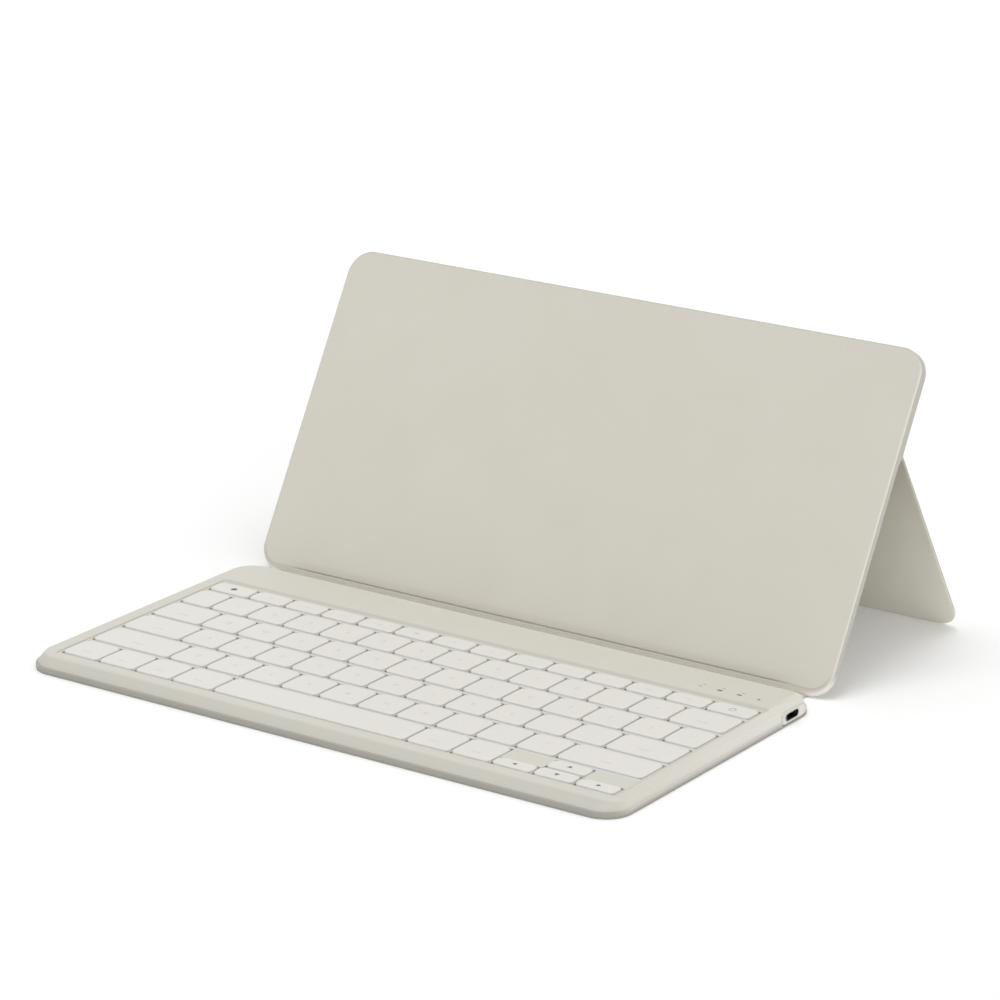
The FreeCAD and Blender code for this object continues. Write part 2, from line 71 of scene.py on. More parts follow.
class Shade:
    # wraps a socket, so that sums and products of values add Math nodes
    def __init__(self, tree, socket=None):
        self.tree = tree
        self.socket = socket

    # the one way to add a node: its settings are set first, then its sockets are linked or filled
    def node(self, kind, settings=None, inputs=None, output=0):
        made = self.tree.nodes.new(kind)
        for name, value in (settings or {}).items():
            setattr(made, name, value)
        for name, value in (inputs or {}).items():
            if isinstance(value, Shade):
                self.tree.links.new(value.socket, made.inputs[name])
            else:
                made.inputs[name].default_value = value
        return Shade(self.tree, made.outputs[output] if made.outputs else None)

    def calc(self, operation, first, second):
        return self.node("ShaderNodeMath", {"operation": operation}, {0: first, 1: second})

    def __add__(self, other):
        return self.calc("ADD", self, other)

    def __sub__(self, other):
        return self.calc("SUBTRACT", self, other)

    def __rsub__(self, other):
        return self.calc("SUBTRACT", other, self)

    def __mul__(self, other):
        return self.calc("MULTIPLY", self, other)

    __radd__ = __add__
    __rmul__ = __mul__

    def mix(self, factor, first, second):
        return self.node("ShaderNodeMix", {"data_type": "RGBA"}, {0: factor, 6: first, 7: second}, 2)

    def noise(self, coords, scale, detail=2.0):
        return self.node("ShaderNodeTexNoise", None, {"Vector": coords, "Scale": scale, "Detail": detail})


def linear(colour):
    # display colour from 0 to 255 to the linear values that the shader takes
    shown = np.array(colour) / 255.0
    values = np.where(shown > 0.04045, ((shown + 0.055) / 1.055) ** 2.4, shown / 12.92)
    return (*values.tolist(), 1.0)


def startMaterial(name):
    material = bpy.data.materials.new(name)
    material.use_nodes = True
    material.node_tree.nodes.clear()
    return material, Shade(material.node_tree)


def endMaterial(shade, **sockets):
    inputs = {name.replace("_", " "): value for name, value in sockets.items()}
    shader = shade.node("ShaderNodeBsdfPrincipled", None, inputs)
    shade.node("ShaderNodeOutputMaterial", None, {"Surface": shader})


# finishes by kind: colours as they show

finishes = {
    "skin": {  # colour and deep drift into each other; a darker rim tone, painted shade except on the cover's side bands, and a paler tone of painted light follow the piece's own shares
        "cover": {"colour": (216, 213, 202), "deep": (210, 206, 194), "rim": (193, 190, 180),
                  "paintedLight": (240, 238, 229)},
        "stand": {"colour": (220, 217, 204), "deep": (213, 209, 195), "rim": (186, 182, 168),
                  "paintedLight": (252, 249, 237)},
        "hinge": {"colour": (204, 200, 188), "deep": (194, 190, 177)},
        "underside": {"colour": (168, 166, 158), "deep": (158, 156, 148)},
    },
    "plastic": {
        # case: the rim tone is painted shade, the paler tone painted light
        "case": {"colour": (215, 212, 202), "deep": (211, 208, 197), "rim": (198, 196, 185),
                 "paintedLight": (229, 227, 219), "rough": 0.48},
        "well": {"colour": (216, 213, 203), "deep": (211, 208, 197), "rough": 0.55,
                 "shade": (214, 213, 208), "shadeGain": 1.6},
        # band: the paler tone is painted light on the upper sides of the wall
        "band": {"colour": (170, 168, 159), "deep": (162, 160, 151), "paintedLight": (205, 202, 193),
                 "rough": 0.42},
        "pod": {"colour": (231, 229, 223), "deep": (227, 225, 218), "rough": 0.34},
        # cap: the rim tone is painted shade on the cap walls
        "cap": {"colour": (230, 228, 222), "deep": (227, 225, 218), "rim": (222, 221, 216),
                "rough": 0.46},
        "legend": {"colour": (204, 202, 196), "deep": (200, 198, 192), "rough": 0.5},
        "paleMark": {"colour": (172, 170, 164), "deep": (166, 164, 158), "rough": 0.5},
        "mark": {"colour": (104, 102, 97), "deep": (96, 94, 89), "rough": 0.5},
        "board": {"colour": (176, 173, 162), "deep": (160, 157, 146), "rough": 0.7},
        "film": {"colour": (120, 122, 124), "deep": (96, 98, 100), "rough": 0.3},
        "silicone": {"colour": (214, 214, 210), "deep": (204, 204, 200), "rough": 0.6},
        "solderMask": {"colour": (30, 74, 48), "deep": (22, 58, 38), "rough": 0.35},
        "insert": {"colour": (24, 24, 24), "deep": (16, 16, 16), "rough": 0.45},
    },
    "metal": {
        "steel": {"colour": (206, 206, 204), "deep": (186, 186, 184), "rough": 0.32},
        "foil": {"colour": (190, 191, 192), "deep": (174, 175, 176), "rough": 0.4},
        "nickel": {"colour": (222, 221, 217), "deep": (210, 209, 205), "rough": 0.22},
        "shell": {"colour": (150, 150, 148), "deep": (132, 132, 130), "rough": 0.3},
    },
}

# textures: repeats per metre, shares of height and tone, bump depth, spread of roughness
skinTexture = {"grain": 1500.0, "poresToGrain": 3.1, "drift": 34.0, "pebbleHeight": -0.7, "poreHeight": 0.5,
               "driftTone": 0.8, "pebbleTone": 0.25, "bump": 0.16, "depth": 0.05 * mm, "rough": 0.58,
               "roughSpread": 0.12}
plasticTexture = {"sparkle": 4200.0, "drift": 48.0, "bump": 0.1, "depth": 0.03 * mm, "roughDrop": 0.05,
                  "roughSpread": 0.1}
metalTexture = {"drawn": (60.0, 1800.0, 1800.0), "roughDrop": 0.05, "roughSpread": 0.12}

keyRows = ("space_key", "lower_letter_keys", "home_letter_keys", "upper_letter_keys", "number_keys",
           "function_keys")
rowGaps = [(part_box(a)[1][1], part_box(b)[0][1]) for a, b in zip(keyRows, keyRows[1:])]


def toned(shade, look, colour):
    # the piece's own shares of a darker tone (rim), painted shade except on the cover's side bands, and of a paler
    # tone of painted light
    for name in ("rim", "paintedLight"):
        if name in look:
            share = shade.node("ShaderNodeAttribute", {"attribute_name": name}, None, 2)
            colour = shade.mix(share, colour, linear(look[name]))
    return colour


def gapShare(shade, coords, gain):
    # share of painted shade in the gaps between the key rows: gain on the middle lines, falling evenly to 0 at the
    # caps, and never over 1
    along = shade.node("ShaderNodeSeparateXYZ", None, {"Vector": coords}, 1)
    share = 0.0
    for front, rear in rowGaps:
        off = shade.calc("ABSOLUTE", along - (front + rear) / 2, 0.0)
        share = shade.calc("MAXIMUM", 1.0 - off * (2 / (rear - front)), share)
    return shade.calc("MINIMUM", share * gain, 1.0)


def bumped(shade, own, height):
    inputs = {"Strength": own["bump"], "Distance": own["depth"], "Height": height}
    return shade.node("ShaderNodeBump", None, inputs)


def grainedSkin(shade, look):
    # coated skin: rounded pebbles with finer pores on them, and a slow drift of tone
    own = skinTexture
    coords = shade.node("ShaderNodeTexCoord", None, None, 3)
    pebbles = shade.node("ShaderNodeTexVoronoi", None, {"Vector": coords, "Scale": own["grain"]})
    pores = shade.noise(coords, own["grain"] * own["poresToGrain"], 3.0)
    drift = shade.noise(coords, own["drift"], 3.0)
    height = pebbles * own["pebbleHeight"] + pores * own["poreHeight"]
    tone = drift * own["driftTone"] + pebbles * own["pebbleTone"]
    colour = toned(shade, look, shade.mix(tone, linear(look["colour"]), linear(look["deep"])))
    rough = own["rough"] + pores * own["roughSpread"]
    endMaterial(shade, Base_Color=colour, Roughness=rough, Normal=bumped(shade, own, height))


def mouldedPlastic(shade, look):
    # fine spark-eroded texture with a slow drift of tone
    own = plasticTexture
    coords = shade.node("ShaderNodeTexCoord", None, None, 3)
    sparkle = shade.noise(coords, own["sparkle"])
    drift = shade.noise(coords, own["drift"])
    colour = toned(shade, look, shade.mix(drift, linear(look["colour"]), linear(look["deep"])))
    # painted shade in the gaps between the key rows
    if "shade" in look:
        colour = shade.mix(gapShare(shade, coords, look["shadeGain"]), colour, linear(look["shade"]))
    rough = look["rough"] - own["roughDrop"] + sparkle * own["roughSpread"]
    endMaterial(shade, Base_Color=colour, Roughness=rough, Normal=bumped(shade, own, sparkle))


def platedMetal(shade, look):
    # drawn metal: streaks along X, rougher where they are dark
    own = metalTexture
    coords = shade.node("ShaderNodeTexCoord", None, None, 3)
    drawn = shade.node("ShaderNodeMapping", None, {"Vector": coords, "Scale": own["drawn"]})
    streaks = shade.noise(drawn, 1.0, 3.0)
    colour = shade.mix(streaks, linear(look["colour"]), linear(look["deep"]))
    rough = look["rough"] - own["roughDrop"] + streaks * own["roughSpread"]
    endMaterial(shade, Base_Color=colour, Metallic=1.0, Roughness=rough)


makers = {"skin": grainedSkin, "plastic": mouldedPlastic, "metal": platedMetal}
materials = {}
for kind, looks in finishes.items():
    for finishName, look in looks.items():
        materials[finishName], shade = startMaterial(finishName)
        makers[kind](shade, look)
print("materials made:", len(materials))


# meshes

def loops(x0, x1, y0, y1, frontR, rearR, z, steps=8, right=(), left=(), front=()):
    # rounded rectangles, one for each row of sizes: straight sides joined by quarter circles, from the front
    # right bend counter-clockwise; right, left and front are extra stations on the straight sides
    sizes = (np.atleast_1d(np.asarray(size, float)) for size in (x0, x1, y0, y1, frontR, rearR, z))
    x0, x1, y0, y1, f, r, z = (size[:, None] for size in np.broadcast_arrays(*sizes))
    turn = np.linspace(0.0, pi / 2, steps + 1)[None]
    right = np.asarray(right, float)[None] + 0 * x0
    left = np.asarray(left, float)[None, ::-1] + 0 * x0
    front = np.asarray(front, float)[None] + 0 * x0
    x = np.hstack([x1 - f + f * np.sin(turn), x1 + 0 * right, x1 - r + r * np.cos(turn),
                   x0 + r - r * np.sin(turn), x0 + 0 * left, x0 + f - f * np.cos(turn), front])
    y = np.hstack([y0 + f - f * np.cos(turn), right, y1 - r + r * np.sin(turn),
                   y1 - r + r * np.cos(turn), left, y0 + f - f * np.sin(turn), y0 + 0 * front])
    return np.stack([x, y, z + 0 * x], -1)


def skinFaces(rows, cols, keep=None, wrap=False):
    # quads between neighbouring loops, then both end loops as caps, or with wrap the last loop to the first
    row = np.arange(rows if wrap else rows - 1)[:, None]
    col = np.arange(cols)[None]
    nextRow = (row + 1) % rows * cols
    nextCol = (col + 1) % cols
    quads = np.stack([row * cols + col, row * cols + nextCol, nextRow + nextCol, nextRow + col], -1)
    faces = (quads if keep is None else quads[keep]).reshape(-1, 4).tolist()
    if not wrap:
        faces.append(list(range(cols))[::-1])
        faces.append(list(range((rows - 1) * cols, rows * cols)))
    return faces


def joined(shapes):
    # (points, faces) pairs as one pair: points in turn, face numbers moved past the points before them
    points = [shape[0] for shape in shapes]
    starts = np.cumsum([0] + [len(p) for p in points]).tolist()
    faces = [[start + i for i in face] for start, shape in zip(starts, shapes) for face in shape[1]]
    return np.concatenate(points), faces


def addMesh(name, verts, faces, finish, slotName, nodes=(), tones=None, second=None):
    # tones holds one share for each vertex, second is a finish and how many of the last faces take it
    mesh = bpy.data.meshes.new(name)
    mesh.from_pydata(np.reshape(verts, (-1, 3)).tolist(), [], faces)
    mesh.polygons.foreach_set("use_smooth", np.ones(len(mesh.polygons), bool))
    mesh.set_sharp_from_angle(angle=radians(sharpAbove))
    mesh.materials.append(materials[finish])
    for tone, values in (tones or {}).items():
        layer = mesh.attributes.new(tone, "FLOAT", "POINT")
        layer.data.foreach_set("value", np.ravel(values).astype(np.float32))
    if second:
        mesh.materials.append(materials[second[0]])
        isSecond = np.arange(len(faces)) >= len(faces) - second[1]
        mesh.polygons.foreach_set("material_index", isSecond.astype(np.int32))
    piece = bpy.data.objects.new(name, mesh)
    scene.collection.objects.link(piece)
    if nodes:
        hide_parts(*nodes)
    return piece


def addPiece(name, body, *rest, **more):
    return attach(addMesh(name, *rest, **more), body)


def addShell(name, body, rings, *rest, **more):
    # loops with a cap at each end
    return addPiece(name, body, rings, skinFaces(*rings.shape[:2]), *rest, **more)


def soften(share):
    # smooth step from 0 to 1
    share = np.clip(share, 0.0, 1.0)
    return share * share * (3 - 2 * share)


def edgeRound(radius, steps=5):
    # quarter circle as (inset, drop) pairs, from the side wall up to the flat
    a = np.linspace(0.0, pi / 2, steps + 1)
    return radius * (1 - np.cos(a)), radius * (1 - np.sin(a))


def plateLoops(x0, x1, y0, y1, frontR, rearR, low, high, lowEdge, highEdge, support=0.4 * mm,
               steps=shellSteps, right=()):
    # flat plate with rounded rims: bottom flat, lower rim, wall, upper rim, top flat
    lowIn, lowDrop = edgeRound(lowEdge)
    highIn, highDrop = edgeRound(highEdge)
    inset = np.concatenate([[lowEdge + support], lowIn[::-1], highIn, [highEdge + support]])
    z = np.concatenate([[low], low + lowDrop[::-1], high - highDrop, [high]])
    return loops(x0 + inset, x1 - inset, y0 + inset, y1 - inset, np.maximum(frontR - inset, leastBend),
                 np.maximum(rearR - inset, leastBend), z, steps, right)


def nodeBox(name):
    low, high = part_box(name)
    return np.array(low), np.array(high)


def corners(name):
    # places of a CAD piece's vertices
    vertices = frame["nodes"][name].data.vertices
    flat = np.empty(len(vertices) * 3)
    vertices.foreach_get("co", flat)
    return flat.reshape(-1, 3)


def joint(name):
    return next(j for j in frame["joints"] if j["name"] == name)


# deck: underside skin, grey band, top case

deck = {
    "corner": 11.0 * mm, "skinEdge": 0.22 * mm, "bandEdge": 0.18 * mm, "bandBottomEdge": 0.1 * mm,
    "caseStep": 0.4 * mm, "caseLip": 0.4 * mm, "wall": 1.2 * mm,
    "frontRun": 6.6 * mm, "sideRun": 1.2 * mm, "rearRun": 0.9 * mm,
    "slopePower": 3.5, "slopeCurve": 0.4, "slopeSpread": 1.35,
    "wellCorner": 1.2 * mm, "wellGap": 0.15 * mm, "wellSoft": 0.55 * mm, "wellRearSoft": 3.0 * mm,
    "wellSink": 0.1 * mm, "wellStops": (8.0 * mm, 4.0 * mm),
    "podGap": 0.1 * mm, "podBack": 0.5 * mm, "mouthRoom": 0.6 * mm, "slit": 0.02 * mm,
    # painted tones, painted shade on the front slope and painted light on the band's upper sides, the side slopes
    # and the right rim: where each starts back from the front edge and over what run, then how much of a slope it
    # takes
    "bandFade": (3.0 * mm, 9.0 * mm), "frontFade": (2.0 * mm, 8.0 * mm), "sideFade": (6.0 * mm, 24.0 * mm),
    "frontDark": 0.3, "sidePale": 0.7, "rightPale": 0.7,
}
skinLow, skinHigh = nodeBox("underside_skin")
plateLow, plateHigh = nodeBox("base_plate")
bandTop = nodeBox("base_band")[1][2]
caseLow, caseHigh = nodeBox("top_case")
wellLow, wellHigh = nodeBox("key_frame")
podLow, podHigh = nodeBox("port_bezel")
shellLow, shellHigh = nodeBox("port_shell")
mouthLow = shellLow[1] - deck["mouthRoom"]
mouthHigh = shellHigh[1] + deck["mouthRoom"]


def fadeBack(distance, tone):
    # smooth step over a tone's run, by the distance back from the front edge
    start, run = deck[tone]
    return soften((distance - start) / run)


def makeUndersideSkin():
    # flat plate with both rims rounded
    rings = plateLoops(skinLow[0], skinHigh[0], skinLow[1], skinHigh[1], deck["corner"], deck["corner"],
                       skinLow[2], skinHigh[2], deck["skinEdge"], deck["skinEdge"])
    addShell("undersideSkin", "keyboard", rings, "underside", "base_skin", ["underside_skin"])


def makeBand():
    # plate and band as one wall, drawn back behind the socket pod's face and further back behind its mouth;
    # on the sides, painted light makes the wall paler upwards
    gap, slit = deck["podGap"], deck["slit"]
    podStart = podLow[1] - gap
    stops = (podStart - slit, podStart, mouthLow - slit, mouthLow, mouthHigh, mouthHigh + slit)
    rings = plateLoops(plateLow[0], plateHigh[0], plateLow[1], plateHigh[1], deck["corner"], deck["corner"],
                       plateLow[2], bandTop, deck["bandBottomEdge"], deck["bandEdge"], right=stops)
    x, y = rings[..., 0], rings[..., 1]
    atPod = (x > 0) & (y > podStart - slit / 2) & (y < podHigh[1] + gap)
    atMouth = atPod & (y > mouthLow - slit / 2) & (y < mouthHigh + slit / 2)
    beside = np.where(atPod, np.minimum(x, podHigh[0] - deck["podBack"]), x)
    rings[..., 0] = np.where(atMouth, podLow[0] - gap, beside)
    upper = (np.arange(len(rings)) >= len(rings) / 2)[:, None]
    addShell("baseBand", "keyboard", rings, "band", "base_plastic", ["base_plate", "base_band"],
             tones={"paintedLight": fadeBack(y - plateLow[1], "bandFade") * upper})


def caseLoops(run, z, more):
    # outlines of the case: run goes from 0 at the wall's foot to 1 where the slopes have ended
    front, side, rear = (deck["caseStep"] + deck[name] * run for name in ("frontRun", "sideRun", "rearRun"))
    half = skinHigh[0]
    return loops(-half + side, half - side, skinLow[1] + front, skinHigh[1] - rear,
                 deck["corner"] - (front + side) / 2, deck["corner"] - (rear + side) / 2, z, **more)


def makeTopCase():
    # closed tube of loops: outer lip, slope between a straight line and a power law, flat, soft step into
    # the key well, then back along the underside
    s = np.linspace(0.0, 1.0, 15) ** deck["slopeSpread"]
    curve = s + deck["slopeCurve"] * (1 - (1 - s) ** deck["slopePower"] - s)
    rise = deck["caseLip"] + (caseHigh[2] - caseLow[2] - deck["caseLip"]) * curve
    stops = (mouthLow, mouthHigh)
    more = {"steps": shellSteps, "right": stops}
    outer = caseLoops(np.concatenate([[0.0], s]), caseLow[2] + np.concatenate([[0.0], rise]), more)
    share = np.linspace(0.0, 1.0, 9)
    step = caseHigh[2] - (caseHigh[2] - wellHigh[2] + deck["wellSink"]) * soften(share)
    gap = deck["wellGap"] + deck["wellSoft"] * (1 - share)
    rearGap = deck["wellGap"] + deck["wellRearSoft"] * (1 - share)
    bend = deck["wellCorner"] + gap
    well = loops(wellLow[0] - gap, wellHigh[0] + gap, wellLow[1] - gap, wellHigh[1] + rearGap, bend, bend,
                 step, shellSteps, right=wellHigh[1] - np.array(deck["wellStops"]))
    roof = caseHigh[2] - deck["wall"]
    half = skinHigh[0]
    inside = deck["caseStep"] + deck["wall"]
    under = np.array([deck["caseStep"] + deck["sideRun"] + deck["wall"], inside, inside])
    underFront = np.array([deck["frontRun"] + deck["wall"] / 2, inside, inside])
    inner = loops(-half + under, half - under, skinLow[1] + underFront, skinHigh[1] - under,
                  deck["corner"] - (under + underFront) / 2, deck["corner"] - under,
                  np.array([roof, caseLow[2] + deck["caseLip"], caseLow[2]]), **more)
    wellFoot = well[-1:].copy()
    wellFoot[..., 2] = roof
    rings = np.concatenate([outer, well, wellFoot, inner])
    rows, cols = rings.shape[:2]
    # the wall is left open at the socket's mouth
    y, nextY = rings[..., 1], np.roll(rings[..., 1], -1, axis=1)
    atMouth = (rings[..., 0] > half / 2) & (y >= stops[0] - tiny) & (nextY <= stops[1] + tiny) & (nextY > y)
    onSlope = np.arange(rows) < len(outer) - 1
    onWall = np.arange(rows) >= len(outer) + len(well) + 1
    keep = ~(atMouth & (onSlope | onWall)[:, None])
    # painted shade darkens the front slope and the step into the well; painted light makes the side slopes and the
    # right rim paler
    fromFront = y[0] - skinLow[1]
    rim = np.zeros((rows, cols))
    onFront = 1 - fadeBack(fromFront, "frontFade")
    rim[1:len(outer)] = soften((1 - s) / deck["frontDark"])[:, None] * onFront
    rim[1] = 0.0
    rim[len(outer):len(outer) + len(well) + 1] = np.append(soften(share * 2), 1.0)[:, None]
    onSide = fadeBack(fromFront, "sideFade")
    upSlope = np.concatenate([[1.0], s, [1.0]])
    pale = soften((1 - upSlope) / deck["sidePale"])[:, None] * onSide
    rightPale = deck["rightPale"] * onSide * (rings[:len(upSlope), :, 0] > wellHigh[0])
    paintedLight = np.zeros((rows, cols))
    paintedLight[:len(upSlope)] = np.maximum(pale, rightPale)
    addPiece("topCase", "keyboard", rings, skinFaces(rows, cols, keep, wrap=True), "case", "case_plastic",
             ["top_case"], tones={"rim": rim, "paintedLight": paintedLight})


makeUndersideSkin()
makeBand()
makeTopCase()
print("deck made")


# socket pod and status marks

pod = {
    "corner": 2.1 * mm, "edge": 0.45 * mm, "length": 2.6 * mm, "below": 0.02 * mm, "rim": 0.45 * mm,
    "rimSteps": (0.5, 0.7, 1.0), "sunk": 0.12 * mm, "sunkSteps": (0.0, 0.3, 1.0),
    "mouthWidth": 9.0 * mm, "mouthHeight": 3.22 * mm, "mouthLip": 0.55 * mm, "mouthEdge": 0.22 * mm,
    "mouthDepth": 1.5 * mm,
}


def makePod():
    # block drawn on its face and carried along X: back, walls, rounded rim, sunk face, then into the mouth
    edgeIn, edgeDrop = edgeRound(pod["edge"])
    inset = np.concatenate([[0.0], edgeIn, pod["edge"] + pod["rim"] * np.array(pod["rimSteps"])])
    x = podHigh[0] - np.concatenate([[pod["length"]], edgeDrop, pod["sunk"] * np.array(pod["sunkSteps"])])
    bend = np.maximum(pod["corner"] - inset, leastBend)
    block = loops(podLow[1] + inset, podHigh[1] - inset, podLow[2] + inset,
                  podHigh[2] - pod["below"] - inset, bend, bend, x)
    y = (shellLow[1] + shellHigh[1]) / 2
    z = (shellLow[2] + shellHigh[2]) / 2
    turn, fall = edgeRound(1.0, 3)
    grow = np.append(turn[::-1], 0.0)
    depth = podHigh[0] - pod["sunk"] - np.append(pod["mouthEdge"] * fall[::-1], pod["mouthDepth"])
    wide = pod["mouthWidth"] / 2 + pod["mouthLip"] * grow
    tall = pod["mouthHeight"] / 2 + pod["mouthEdge"] * grow
    mouth = loops(y - wide, y + wide, z - tall, z + tall, tall, tall, depth)
    rings = np.concatenate([block, mouth])[..., [2, 0, 1]]
    rows, cols = rings.shape[:2]
    addPiece("socketPod", "keyboard", rings, skinFaces(rows, cols, wrap=True), "case", "port_plastic",
             ["port_bezel"], second=("pod", (rows - len(edgeIn)) * cols))


marks = {
    "length": 2.1 * mm, "width": 1.1 * mm, "shares": (0.8, 1.1, 1.0, 0.6), "apart": 2.0 * mm,
    "endRound": 0.45, "thick": 0.02 * mm, "lowEdge": 0.005 * mm, "highEdge": 0.01 * mm, "support": 0.05 * mm,
    "strokeLength": 1.6 * mm, "strokeWidth": 0.6 * mm, "strokeRight": 0.5 * mm, "strokeBehind": 2.3 * mm,
}


def flatBars(name, x, y, wide, tall, finish, nodes=()):
    # short plates with round ends, flush on the deck
    bend = tall * marks["endRound"]
    low, high = caseHigh[2] - marks["thick"], caseHigh[2] + marks["thick"]
    bars = []
    for place, length in zip(x, wide):
        rings = plateLoops(place - length / 2, place + length / 2, y - tall / 2, y + tall / 2, bend, bend,
                           low, high, marks["lowEdge"], marks["highEdge"], marks["support"], steps=4)
        bars.append((rings.reshape(-1, 3), skinFaces(*rings.shape[:2])))
    addPiece(name, "keyboard", *joined(bars), finish, "light_guide", nodes)


def makeStatusMarks():
    # a bar on each light guide, dim on the first, and a thinner printed stroke behind all but the last
    places = corners("status_light_guides")
    xs = np.sort(places[:, 0])
    groups = np.split(xs, np.flatnonzero(np.diff(xs) > marks["apart"]) + 1)
    centres = np.array([group.mean() for group in groups])
    y = places[:, 1].mean()
    wide = marks["length"] * np.array(marks["shares"])
    flatBars("statusBars", centres[1:], y, wide[1:], marks["width"], "mark", ["status_light_guides"])
    flatBars("statusDimBar", centres[:1], y, wide[:1], marks["width"], "paleMark")
    strokes = centres[:-1] + marks["strokeRight"]
    flatBars("statusStrokes", strokes, y + marks["strokeBehind"], marks["strokeLength"] + 0 * strokes,
             marks["strokeWidth"], "paleMark")


makePod()
makeStatusMarks()
print("socket pod and status marks made")


# keys and their legends

keyShape = {
    "sideEdge": 0.3 * mm, "endEdge": 0.8 * mm, "edgeDrop": 0.55 * mm, "corner": 2.3 * mm,
    "topCorner": 3.5 * mm, "draft": 0.05 * mm, "underIn": 0.6 * mm, "dish": 0.06 * mm,
    "bowlSteps": (0.07, 0.2, 0.4, 0.65, 0.9),
    "rimTone": (1.0, 1.0, 1.0, 1.0, 0.9, 0.7, 0.4, 0.1),  # painted shade on the cap walls, loop by loop from the foot, then none
}
keyNodes = sorted(n for n in frame["nodes"] if n.endswith(("_key", "_keys")))


def capPlans(node):
    # one row of caps: along the row's front edge each cap has the ends of its two corner bends
    places = corners(node)
    low, high = places.min(0), places.max(0)
    ends = np.unique(np.round(places[places[:, 1] < low[1] + 0.01 * mm, 0], 6))
    bend = ends[0] - low[0]
    return ends[0::2] - bend, ends[1::2] + bend, low[1], high[1], (low[2], high[2])


def capRings(left, right, front, rear, low, high):
    # wall with a little draft, rim rounded as a quarter ellipse, longer at the front and rear, then a top
    # that sinks as a square bowl towards the middle
    turn, fall = edgeRound(1.0, 6)
    foot = [keyShape["underIn"], 0.0]
    across = np.concatenate([foot, keyShape["draft"] + keyShape["sideEdge"] * turn])
    along = np.concatenate([foot, keyShape["draft"] + keyShape["endEdge"] * turn])
    z = np.concatenate([[low, low], high - keyShape["edgeDrop"] * fall])
    widen = keyShape["topCorner"] - keyShape["corner"]
    bend = keyShape["corner"] + widen * np.concatenate([[0.0, 0.0], turn])
    rim = loops(left + across, right - across, front + along, rear - along, bend, bend, z)
    shrink = np.array(keyShape["bowlSteps"])[:, None]
    middle = np.array([(left + right) / 2, (front + rear) / 2])
    top = np.empty((len(shrink), rim.shape[1], 3))
    top[..., :2] = rim[-1, :, :2] + shrink[..., None] * (middle - rim[-1, :, :2])
    top[..., 2] = high - keyShape["dish"] * (1 - (1 - shrink) ** 2)
    return np.concatenate([rim, top])


def makeKeys():
    # all caps of a node as one piece, each with painted shade up its wall and round its rim
    for node in keyNodes:
        lefts, rights, front, rear, levels = capPlans(node)
        caps = [capRings(left, right, front, rear, *levels) for left, right in zip(lefts, rights)]
        rows, cols = caps[0].shape[:2]
        verts, faces = joined([(rings.reshape(-1, 3), skinFaces(rows, cols)) for rings in caps])
        rim = np.append(keyShape["rimTone"], np.zeros(rows - len(keyShape["rimTone"])))
        addPiece("caps_" + node, node, verts, faces, "cap", "keycap_plastic", [node],
                 tones={"rim": np.tile(np.repeat(rim, cols), len(caps))})


legendShape = {
    "size": 3.1 * mm, "smallSize": 1.9 * mm, "smallPlace": (0.55, 0.5), "lift": 0.012 * mm,
    "inset": 3.0 * mm, "arrow": 1.25 * mm, "dot": 1.35 * mm, "ring": 1.5 * mm, "ringHollow": 0.72,
    "dash": (2.4 * mm, 0.35 * mm), "block": (2.2 * mm, 1.3 * mm), "blockKey": 4,
    "shortWord": (4.2 * mm, 0.35 * mm), "shortWordPlace": (0.0, -0.45),
    "longWord": (5.0 * mm, 0.4 * mm), "longWordPlace": (0.0, -0.4),
}
letterRows = {
    "number_keys": "`1234567890-=",
    "upper_letter_keys": "QWERTYUIOP[]\\",
    "home_letter_keys": "ASDFGHJKL;'",
    "lower_letter_keys": "ZXCVBNM,./",
}
arrowHeadings = {"left_arrow_key": 180.0, "right_arrow_key": 0.0, "up_arrow_key": 90.0,
                 "down_arrow_key": 270.0}
legendFinishes = {"escape_key": "mark", "lock_key": "paleMark", **dict.fromkeys(arrowHeadings, "mark")}


def dishLevel(x, y, plan):
    # height of a cap's top at a point, by the same bowl as the cap
    left, right, front, rear, high = plan
    across = np.abs(x - (left + right) / 2) / ((right - left) / 2)
    along = np.abs(y - (front + rear) / 2) / ((rear - front) / 2)
    return high - keyShape["dish"] * (1 - np.maximum(across, along) ** 2)


def glyph(text, size):
    # a letter as flat faces about its own middle
    curve = bpy.data.curves.new("glyph", "FONT")
    curve.body = text
    curve.size = size
    curve.align_x = "CENTER"
    curve.align_y = "CENTER"
    curve.resolution_u = 3
    holder = bpy.data.objects.new("glyph", curve)
    scene.collection.objects.link(holder)
    bpy.context.view_layer.update()
    mesh = bpy.data.meshes.new_from_object(holder.evaluated_get(bpy.context.evaluated_depsgraph_get()))
    flat = np.empty(len(mesh.vertices) * 3)
    mesh.vertices.foreach_get("co", flat)
    faces = [list(p.vertices) for p in mesh.polygons]
    bpy.data.objects.remove(holder)
    bpy.data.curves.remove(curve)
    bpy.data.meshes.remove(mesh)
    return flat.reshape(-1, 3)[:, :2], faces


def barGlyph(width, height):
    # rectangle about its own middle
    w, h = width / 2, height / 2
    return np.array([[-w, -h], [w, -h], [w, h], [-w, h]]), [[0, 1, 2, 3]]


def ringGlyph(radius, hollow, sides=24):
    # circle, or quads between it and its copy shrunk to the hollow's share
    here = np.arange(sides)
    turn = here * 2 * pi / sides
    outer = radius * np.stack([np.cos(turn), np.sin(turn)], -1)
    if hollow == 0:
        return outer, [here.tolist()]
    after = (here + 1) % sides
    quads = np.stack([here, after, after + sides, here + sides], -1).tolist()
    return np.concatenate([outer, outer * hollow]), quads


def arrowGlyph(size, heading):
    # equal-sided triangle with one corner on its heading
    turn = radians(heading) + np.arange(3) * 2 * pi / 3
    return size * np.stack([np.cos(turn), np.sin(turn)], -1), [[0, 1, 2]]


